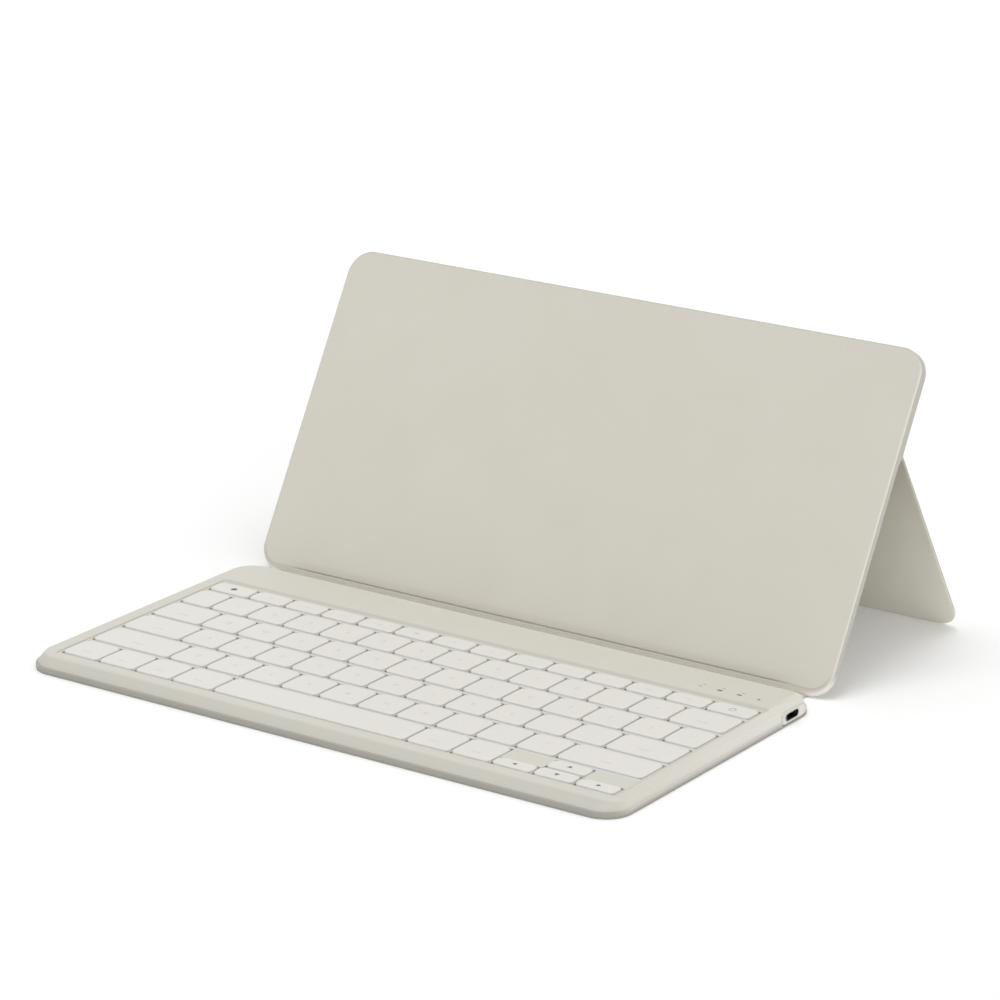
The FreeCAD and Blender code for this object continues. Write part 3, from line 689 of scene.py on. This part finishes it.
def legendsFor(node, count):
    # one list for each cap: (shape, place across, place along), places in halves from the cap's middle
    own = legendShape
    if node in letterRows:
        return [[(glyph(letter, own["size"]), 0.0, 0.0)] for letter in letterRows[node]]
    if node in arrowHeadings:
        return [[(arrowGlyph(own["arrow"], arrowHeadings[node]), 0.0, 0.0)]]
    if node == "escape_key":
        return [[(ringGlyph(own["dot"], 0.0), 0.0, 0.0)]]
    if node == "lock_key":
        return [[(ringGlyph(own["ring"], own["ringHollow"]), 0.0, 0.0)]]
    if node == "function_keys":
        shapes = [barGlyph(*own["dash"])] * count
        shapes[own["blockKey"]] = barGlyph(*own["block"])
        return [[(shape, 0.0, 0.0)] for shape in shapes]
    if node in ("left_modifier_keys", "right_modifier_keys"):
        word = (barGlyph(*own["shortWord"]), *own["shortWordPlace"])
        return [[(glyph("f", own["smallSize"]), *own["smallPlace"]), word]] * count
    if node == "space_key":
        return [[]]
    return [[(barGlyph(*own["longWord"]), *own["longWordPlace"])]]


def makeLegends():
    # flat shapes laid a hair above the bowls of their caps
    inset = legendShape["inset"]
    for node in keyNodes:
        lefts, rights, front, rear, levels = capPlans(node)
        laid = []
        for left, right, shapes in zip(lefts, rights, legendsFor(node, len(lefts))):
            for (flat, sides), across, along in shapes:
                x = flat[:, 0] + (left + right) / 2 + across * ((right - left) / 2 - inset)
                y = flat[:, 1] + (front + rear) / 2 + along * ((rear - front) / 2 - inset / 2)
                z = dishLevel(x, y, (left, right, front, rear, levels[1])) + legendShape["lift"]
                laid.append((np.stack([x, y, z], -1), sides))
        if laid:
            finish = legendFinishes.get(node, "legend")
            addPiece("legends_" + node, node, *joined(laid), finish, "keycap_plastic")


makeKeys()
print("keys made:", len(keyNodes))
makeLegends()
print("legends made")


# what springs back under the keys

springs = {"from": ("dome_mat", "scissor_frames", "stabiliser_bars"), "slack": 0.05 * mm,
           "domeSpan": 10.0 * mm, "matCorner": 0.5 * mm, "matEdge": 0.04 * mm}


def triangles(name):
    # corner places of a CAD piece, three for each triangle
    mesh = frame["nodes"][name].data
    index = np.empty(len(mesh.loops), np.int32)
    mesh.loops.foreach_get("vertex_index", index)
    return corners(name)[index].reshape(-1, 3, 3)


def makeSprings():
    # the mat is a flat plate; on it, the CAD triangles of the domes, scissor frames and bars under each key
    # node are merged at equal corners into one piece
    parts = [triangles(name) for name in springs["from"]]
    places = np.concatenate(parts)
    isBar = np.arange(len(places)) >= len(places) - len(parts[-1])
    middle = places.mean(1)
    top = places[..., 2].max()
    low, high = nodeBox("dome_mat")
    mat = joint("space_key_press")["deforming_nodes"][0]["fixed_end_z_m"]
    rings = plateLoops(low[0], high[0], low[1], high[1], springs["matCorner"], springs["matCorner"], low[2],
                       mat, springs["matEdge"], springs["matEdge"], steps=3)
    addShell("matSheet", "keyboard", rings, "silicone", "dome_rubber", ["dome_mat"])
    small = np.ptp(places[..., :2], axis=1).max(1) < springs["domeSpan"]
    proud = (places[..., 2].max(1) > mat + tiny) | (small & (places[..., 2].min(1) > mat - tiny))
    for node in keyNodes:
        lefts, rights, front, rear, levels = capPlans(node)
        inRow = (middle[:, 1] > front) & (middle[:, 1] < rear)
        inCap = ((middle[:, :1] > lefts) & (middle[:, :1] < rights)).any(1)
        chosen = proud & inRow & inCap
        spots, index = np.unique(np.round(places[chosen].reshape(-1, 3), 7), axis=0, return_inverse=True)
        bars = int((chosen & isBar).sum())
        piece = addPiece("springs_" + node, "keyboard", spots, index.reshape(-1, 3).tolist(), "silicone",
                         "guide_plastic", springs["from"], second=("steel", bars) if bars else None)
        travel = -joint(node + "_press")["range_m"][0]
        keep = (levels[0] - travel - springs["slack"] - mat) / (top - mat)
        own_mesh(piece)


makeSprings()
print("springs under the keys made")


# cover: face panel, rolled nose, back skin, lining

tabletFace = next(m for m in frame["record"]["mounts"] if m["name"] == "tablet_face")
faceAxis = np.array(tabletFace["axis"], float)
upAxis = np.array([0.0, faceAxis[2], -faceAxis[1]])
coverPlaces = corners("cover_face_skin")
backPlaces = corners("cover_back_skin")
cover = {
    "halfWidth": coverPlaces[:, 0].max(), "faceLevel": (coverPlaces @ faceAxis).max(),
    "backLevel": (backPlaces @ faceAxis).min(), "noseEnd": (coverPlaces @ upAxis).min(),
    "topEnd": (coverPlaces @ upAxis).max(), "backStart": (backPlaces @ upAxis).min(),
    "corner": 10.5 * mm, "noseCorner": 10.0 * mm, "edge": 0.5 * mm, "skin": 0.6 * mm, "wall": 0.35 * mm,
    "floorIn": 3.0 * mm, "lipIn": 0.06 * mm, "lipRise": 0.08 * mm, "wallLevels": (-0.3 * mm, 0.4 * mm),
    "flatIn": 0.25 * mm, "faceIn": 5.0 * mm, "faceUp": 7.0 * mm,
    "earLength": 4.6 * mm, "backOverlap": 0.25 * mm, "seam": 0.01 * mm,
    "backCorner": 0.4 * mm, "backEdge": 0.35 * mm, "hiddenEdge": 0.05 * mm,
    "lining": 0.4 * mm, "liningCorner": 0.5 * mm, "liningEdge": 0.2 * mm,
    "creaseUp": 0.6 * mm, "creaseDepth": 0.6 * mm, "creaseFull": 110.0 * mm, "creaseGone": 124.0 * mm,
    "creasePlaces": np.array([-0.58, -0.34, -0.14, 0.0, 0.1, 0.28, 0.5]) * mm,
    "creaseShares": np.array([0.0, 0.12, 0.6, 1.0, 0.75, 0.2, 0.0]),
    # painted tones: painted shade on the nose below the crease and on the top and left edges, a darker band on the
    # right side, a painted highlight along the right edge and painted light on the lower nose; where the nose's
    # own fade out upwards, then shares loop by loop, from the inner floor over the rim and the rounded edge to the
    # face
    "noseFade": (1.0 * mm, 8.0 * mm),
    "sideRim": (1.0,) * 9 + (0.8, 0.5, 0.2) + (0.0,) * 12,
    "topRim": (1.0,) * 14 + (0.7, 0.3) + (0.0,) * 8,
    "noseRim": (0.0,) * 13 + (0.2, 0.4, 0.6, 0.7, 0.8, 0.9, 1.0, 0.7, 0.2, 0.0, 0.0),
    "sidePaintedLight": (0.0,) * 10 + (0.2, 0.4, 0.6, 0.6, 0.6, 0.5, 0.2) + (0.0,) * 7,
    "nosePaintedLight": (0.0,) * 3 + (1.0,) * 6 + (0.8, 0.5, 0.2) + (0.0,) * 12,
}
coverHalf = (cover["faceLevel"] - cover["backLevel"]) / 2
noseUp = cover["noseEnd"] + coverHalf  # middle line of the rolled nose
noseLevel = cover["faceLevel"] - coverHalf
coverTop = cover["topEnd"] - noseUp
backEdge = cover["backStart"] - noseUp - cover["backOverlap"]
hingePos = np.array(joint("stand_hinge")["pos_m"])
hingeUp = hingePos @ upAxis - noseUp
hingeLevel = hingePos @ faceAxis - noseLevel
recessLevel = (corners("recess_lining") @ faceAxis).min() - noseLevel


def onCover(points):
    # from (across, up from the nose, out of the face) to the leaning cover
    across = points[..., :1] * np.array([1.0, 0.0, 0.0])
    return across + (points[..., 1:2] + noseUp) * upAxis + (points[..., 2:3] + noseLevel) * faceAxis


def rimLevel(up):
    # below the hinge the side wall ends at the recess floor, beside the hinge it swells to the back, and
    # above it the wall ends under the back skin
    swell = soften((up - hingeUp) / cover["earLength"] + 1)
    low = recessLevel - (coverHalf + recessLevel) * swell
    return np.where(up > backEdge, -coverHalf + cover["skin"], low)


def noseInset(level):
    # how far a half-round nose draws in at a level
    return coverHalf - np.sqrt(np.maximum(coverHalf ** 2 - level ** 2, 0.0))


def coverTones(outline):
    # the shares of the painted tones of the nose, the top, the right side and the left side, each where the
    # outline is there
    start, run = cover["noseFade"]
    atNose = 1 - soften((outline[:, 1] - start) / run)
    atTop = soften((outline[:, 1] - coverTop) / cover["corner"] + 1)
    atRight = 1.0 * (outline[:, 0] > 0)
    plainSide = (1 - atNose) * (1 - atTop)
    names = ("sideRim", "topRim", "noseRim", "sidePaintedLight", "nosePaintedLight")
    sideRim, topRim, noseRim, sidePaintedLight, nosePaintedLight = (np.array(cover[name])[:, None] for name in names)
    bothSides = sideRim * atRight + topRim * (1 - atRight)
    return {"rim": bothSides * plainSide + topRim * atTop + noseRim * atNose,
            "paintedLight": sidePaintedLight * plainSide * atRight + nosePaintedLight * atNose}


def makeCoverFace():
    # tray of loops: inner floor, inner wall, rim, outer wall, rounded edge, face; below, the same levels
    # wrap the half-round nose, and a crease that fades at its ends is pressed into the face above it
    half = cover["halfWidth"]
    face, wall = coverHalf, cover["wall"]
    edgeIn, edgeDrop = edgeRound(cover["edge"], 8)
    nearCrease = cover["creasePlaces"]
    wallIn = [cover["floorIn"], wall, wall, cover["lipIn"], 0.0, 0.0, 0.0]
    flatIn = cover["edge"] + cover["flatIn"] + nearCrease - nearCrease[0]
    side = np.concatenate([wallIn, edgeIn, flatIn, [cover["faceIn"]]])
    floorLevel = face - cover["skin"]
    wallLevels = [floorLevel, floorLevel, recessLevel, recessLevel, recessLevel + cover["lipRise"]]
    flatLevel = np.full(len(nearCrease) + 1, face)
    level = np.concatenate([wallLevels, cover["wallLevels"], face - edgeDrop, flatLevel])
    bottom = noseInset(level)
    bottom[:4] += side[:4]
    bottom[-8:] = np.concatenate([coverHalf + cover["creaseUp"] + nearCrease, [cover["faceUp"]]])
    ear = hingeUp - np.linspace(1.0, 0.0, 9) * cover["earLength"]
    stops = np.concatenate([ear, [backEdge - cover["seam"], backEdge + cover["seam"]]])
    creaseEnd = np.linspace(cover["creaseFull"], cover["creaseGone"], 8)
    stations = np.concatenate([-creaseEnd[::-1], [0.0], creaseEnd])
    rings = loops(-half + side, half - side, -coverHalf + bottom, coverTop - side,
                  cover["noseCorner"] - (side + bottom) / 2, cover["corner"] - side, level, steps=14,
                  right=stops, left=stops, front=stations)
    rim = rimLevel(rings[..., 1])
    rings[2:4, :, 2] = rim[2:4]
    rings[4, :, 2] = rim[4] + cover["lipRise"]
    fromEnd = cover["creaseGone"] - np.abs(rings[-2, :, 0])
    pressed = soften(fromEnd / (cover["creaseGone"] - cover["creaseFull"]))
    pressed = pressed * (rings[-2, :, 1] < cover["noseCorner"])
    rings[-8:-1, :, 2] -= cover["creaseDepth"] * cover["creaseShares"][:, None] * pressed
    addShell("coverFace", "cover", onCover(rings), "cover", "cover_skin", ["cover_face_skin"],
             tones=coverTones(rings[3]))


def makeBackSkin():
    # flat plate above the hinge, rounded outside, its rim and inner face in the darker tone
    half = cover["halfWidth"]
    rings = plateLoops(-half, half, backEdge, coverTop, cover["backCorner"], cover["corner"], -coverHalf,
                       -coverHalf + cover["skin"], cover["backEdge"], cover["hiddenEdge"])
    rimTone = np.concatenate([[0.0], np.linspace(0.0, 1.0, 6), np.ones(7)])
    addShell("coverBack", "cover", onCover(rings), "cover", "cover_skin", ["cover_back_skin"],
             tones={"rim": rimTone[:, None] + 0 * rings[..., 0]})


def makeLining():
    # flat plate on the floor of the recess below the hinge
    high = (corners("recess_lining") @ upAxis).max() - noseUp
    low = -coverHalf + noseInset(recessLevel) + cover["wall"]
    half = cover["halfWidth"] - cover["wall"]
    bend = cover["noseCorner"] - cover["wall"]
    rings = plateLoops(-half, half, low, high, bend, cover["liningCorner"], recessLevel,
                       recessLevel + cover["lining"], cover["liningEdge"], cover["hiddenEdge"])
    addShell("recessLining", "cover", onCover(rings), "stand", "stand_skin", ["recess_lining"])


makeCoverFace()
makeBackSkin()
makeLining()
print("cover made")


# stand

# darkFall and paleRise shape the painted shade near the hinge and the painted light towards the foot
stand = {"thick": 1.0 * mm, "length": 98.8 * mm, "corner": 10.0 * mm, "hingeCorner": 0.5 * mm,
         "edge": 0.38 * mm, "meetEdge": 0.02 * mm, "footLift": 0.05 * mm, "darkFall": 2.5, "paleRise": 1.3}
footUp = -stand["length"]
footOut = -(coverHalf - stand["thick"] / 2) - hingeLevel
lean = atan2(upAxis[1], upAxis[2])
foldedAngle = atan2(footOut, footUp) + pi / 2 - lean
footLevel = stand["thick"] / 2 + stand["footLift"]
openAngle = -asin((hingePos[2] - footLevel) / hypot(footUp, footOut)) - foldedAngle


def onStand(points):
    # folded in the cover's recess, then turned out about the hinge line
    up = points[..., 1] - hingeUp
    out = points[..., 2] - hingeLevel
    turned = np.stack([points[..., 0], hingeUp + up * cos(openAngle) - out * sin(openAngle),
                       hingeLevel + up * sin(openAngle) + out * cos(openAngle)], -1)
    return onCover(turned)


def makeStand():
    # two skins that meet at the middle of the sheet, each rounded on its outer rim; the inner one, with a share of
    # 1, carries painted shade near the hinge and painted light that grows towards the foot
    half = np.abs(corners("stand_outer_skin")[:, 0]).max()
    low = hingeUp - stand["length"] - stand["thick"] / 2
    back = -coverHalf
    middle = back + stand["thick"] / 2
    edge, meet = stand["edge"], stand["meetEdge"]
    layers = {
        "standOuter": (back, middle, edge, meet, "stand_outer_skin", 0.0),
        "standInner": (middle, back + stand["thick"], meet, edge, "stand_inner_skin", 1.0),
    }
    for name, (bottom, top, lowEdge, highEdge, node, share) in layers.items():
        rings = plateLoops(-half, half, low, hingeUp, stand["corner"], stand["hingeCorner"], bottom, top,
                           lowEdge, highEdge)
        toFoot = (hingeUp - rings[..., 1]) / (hingeUp - low)
        dark = share * soften(1 - toFoot * stand["darkFall"])
        pale = share * soften(toFoot * stand["paleRise"])
        addShell(name, "stand", onStand(rings), "stand", "stand_skin", [node],
                 tones={"rim": dark, "paintedLight": pale})


makeStand()
print("stand made, opened", round(degrees(openAngle), 2), "degrees")


# hinge strip: two ribbons that meet at the middle of the strip

strip = {"thick": 0.9 * mm, "tuck": 1.6 * mm, "bendReach": 0.75 * mm, "bendPull": 0.6, "intoNose": 0.6 * mm,
         "frontSteps": 40, "flatSteps": 16, "bendSteps": 28}
foldA = np.array(joint("spine_fold")["pos_m"])
foldB = np.array(joint("cover_fold")["pos_m"])
stripHalf = np.abs(corners("hinge_strip")[:, 0]).max()
noseMiddle = noseUp * upAxis + noseLevel * faceAxis


def ribbon(name, path, nodes):
    # sheet of even thickness about a path in the side view, carried across the strip
    along = np.gradient(path, axis=0)
    along /= np.linalg.norm(along, axis=1)[:, None]
    normal = np.stack([-along[:, 1], along[:, 0]], -1)
    off = normal * strip["thick"] / 2
    section = np.concatenate([path - off, (path + off)[::-1]])
    across = np.linspace(-1.0, 1.0, 3) * stripHalf
    rows = np.empty((len(across), len(section), 3))
    rows[..., 0] = across[:, None]
    rows[..., 1:] = section
    return addMesh(name, rows, skinFaces(*rows.shape[:2]), "hinge", "hinge_skin", nodes)


def makeStrip():
    # the front ribbon's path is straight, from under the deck to the middle; the rear one's goes straight on
    # to the second fold, then on a quadratic curve into the nose
    middle = (foldA + foldB)[1:] / 2
    reach = np.array([strip["bendReach"], 0.0])
    start = np.array([skinHigh[1] - strip["tuck"], foldA[2]])
    front = np.linspace(0.0, 1.0, strip["frontSteps"])[:, None] * (middle - start) + start
    piece = ribbon("stripFront", front, ["hinge_strip"])
    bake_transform(piece)
    bendStart = foldB[1:] - reach
    flat = np.linspace(0.0, 1.0, strip["flatSteps"])[:, None] * (bendStart - middle) + middle
    fromNose = foldB[1:] - noseMiddle[1:]
    bendEnd = noseMiddle[1:] + fromNose / np.linalg.norm(fromNose) * strip["intoNose"]
    pull = foldB[1:] + reach * strip["bendPull"]
    t = np.linspace(0.0, 1.0, strip["bendSteps"])[1:, None]
    bend = (1 - t) ** 2 * bendStart + 2 * t * (1 - t) * pull + t ** 2 * bendEnd
    piece = ribbon("stripRear", np.concatenate([flat, bend]), ["hinge_strip"])
    away = (noseMiddle - foldB) / np.linalg.norm(noseMiddle - foldB) * strip["bendReach"]
    tuple(foldB + away)
    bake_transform(piece)


makeStrip()
print("hinge strip made")


# CAD pieces that stay, by finish

stay = {
    "well": ["key_frame"],
    "steel": ["support_plate", "case_screws", "stand_hinge_brackets", "stand_hinge_pins"],
    "nickel": ["closing_magnets", "tablet_magnets", "cover_closing_magnets", "stand_catch_magnets"],
    "shell": ["port_shell"],
    "film": ["switch_membrane", "membrane_ribbon"],
    "silicone": ["board_standoffs"],
    "solderMask": ["main_board"],
    "foil": ["battery_cell"],
    "insert": ["port_tongue"],
    "board": ["cover_board"],
    "stand": ["stand_board"],
}
for finishName, names in stay.items():
    for name in names:
        data = frame["nodes"][name].data
        data.materials.clear()
        data.materials.append(materials[finishName])
print("CAD pieces finished")


# floor, light, camera

stage = {"floorHalf": 6.0, "floorDrop": 0.00002, "floorTone": 0.97, "lift": 0.08, "sky": 0.66,
         "skyLean": (0.08, 0.14, 0.0)}
lamps = {"top": {"from": (-0.1, -0.15, 1.0), "strength": 0.92, "spread": 34.0},
         "side": {"from": (0.8, -0.52, 0.2), "strength": 0.5, "spread": 40.0}}
shot = {"spot": (0.8774, -1.1972, 0.5576), "elevation": 18.0, "azimuth": 35.0, "lens": 150.0,
        "sensor": 36.0, "clipEnd": 30.0}
white = (1.0, 1.0, 1.0, 1.0)


def seenRays(shade):
    # 1 on rays that show the background: straight from the camera, mirrored or passed through
    rays = ("Is Camera Ray", "Is Glossy Ray", "Is Transmission Ray")
    camera, glossy, through = (shade.node("ShaderNodeLightPath", None, None, ray) for ray in rays)
    return shade.calc("MINIMUM", camera + glossy + through, 1.0)


def makeFloor():
    # one large square just under the object, matte, lifted a little towards white where it is seen
    half, low = stage["floorHalf"], -stage["floorDrop"]
    square = [(-half, -half, low), (half, -half, low), (half, half, low), (-half, half, low)]
    mesh = bpy.data.meshes.new("floor")
    mesh.from_pydata(square, [], [(0, 1, 2, 3)])
    floor = bpy.data.objects.new("floor", mesh)
    scene.collection.objects.link(floor)
    material, shade = startMaterial("floor")
    tone = (stage["floorTone"],) * 3 + (1.0,)
    matte = shade.node("ShaderNodeBsdfDiffuse", None, {"Color": tone})
    lift = seenRays(shade) * stage["lift"]
    glow = shade.node("ShaderNodeEmission", None, {"Color": white, "Strength": lift})
    both = shade.node("ShaderNodeAddShader", None, {0: matte, 1: glow})
    shade.node("ShaderNodeOutputMaterial", None, {"Surface": both})
    mesh.materials.append(material)


def makeSky():
    # white light from all round, a little brighter towards the right and the rear, but even where it is seen
    world = bpy.data.worlds.new("studio")
    scene.world = world
    world.use_nodes = True
    world.node_tree.nodes.clear()
    shade = Shade(world.node_tree)
    heading = shade.node("ShaderNodeTexCoord", None, None, 0)
    dot = {"operation": "DOT_PRODUCT"}
    towards = shade.node("ShaderNodeVectorMath", dot, {0: heading, 1: stage["skyLean"]}, 1)
    level = (towards + 1.0) * stage["sky"]
    light = shade.node("ShaderNodeBackground", None, {"Color": white, "Strength": level})
    plain = shade.node("ShaderNodeBackground", None, {"Color": white, "Strength": 1.0})
    both = shade.node("ShaderNodeMixShader", None, {0: seenRays(shade), 1: light, 2: plain})
    shade.node("ShaderNodeOutputWorld", None, {"Surface": both})


def makeLamps():
    # wide suns, each turned to shine from its own direction
    for name, lamp in lamps.items():
        data = bpy.data.lights.new(name, "SUN")
        data.energy = lamp["strength"]
        data.angle = radians(lamp["spread"])
        holder = bpy.data.objects.new(name, data)
        scene.collection.objects.link(holder)
        x, y, z = lamp["from"]
        holder.rotation_euler = (atan2(hypot(x, y), z), 0.0, atan2(x, -y))


def makeCamera():
    data = bpy.data.cameras.new("camera")
    data.lens = shot["lens"]
    data.sensor_width = shot["sensor"]
    data.clip_end = shot["clipEnd"]
    holder = bpy.data.objects.new("camera", data)
    scene.collection.objects.link(holder)
    holder.location = shot["spot"]
    holder.rotation_euler = (radians(90.0 - shot["elevation"]), 0.0, radians(shot["azimuth"]))
    scene.camera = holder


makeFloor()
makeSky()
makeLamps()
makeCamera()
scene.view_settings.view_transform = "Standard"
print("stage, light and camera made")
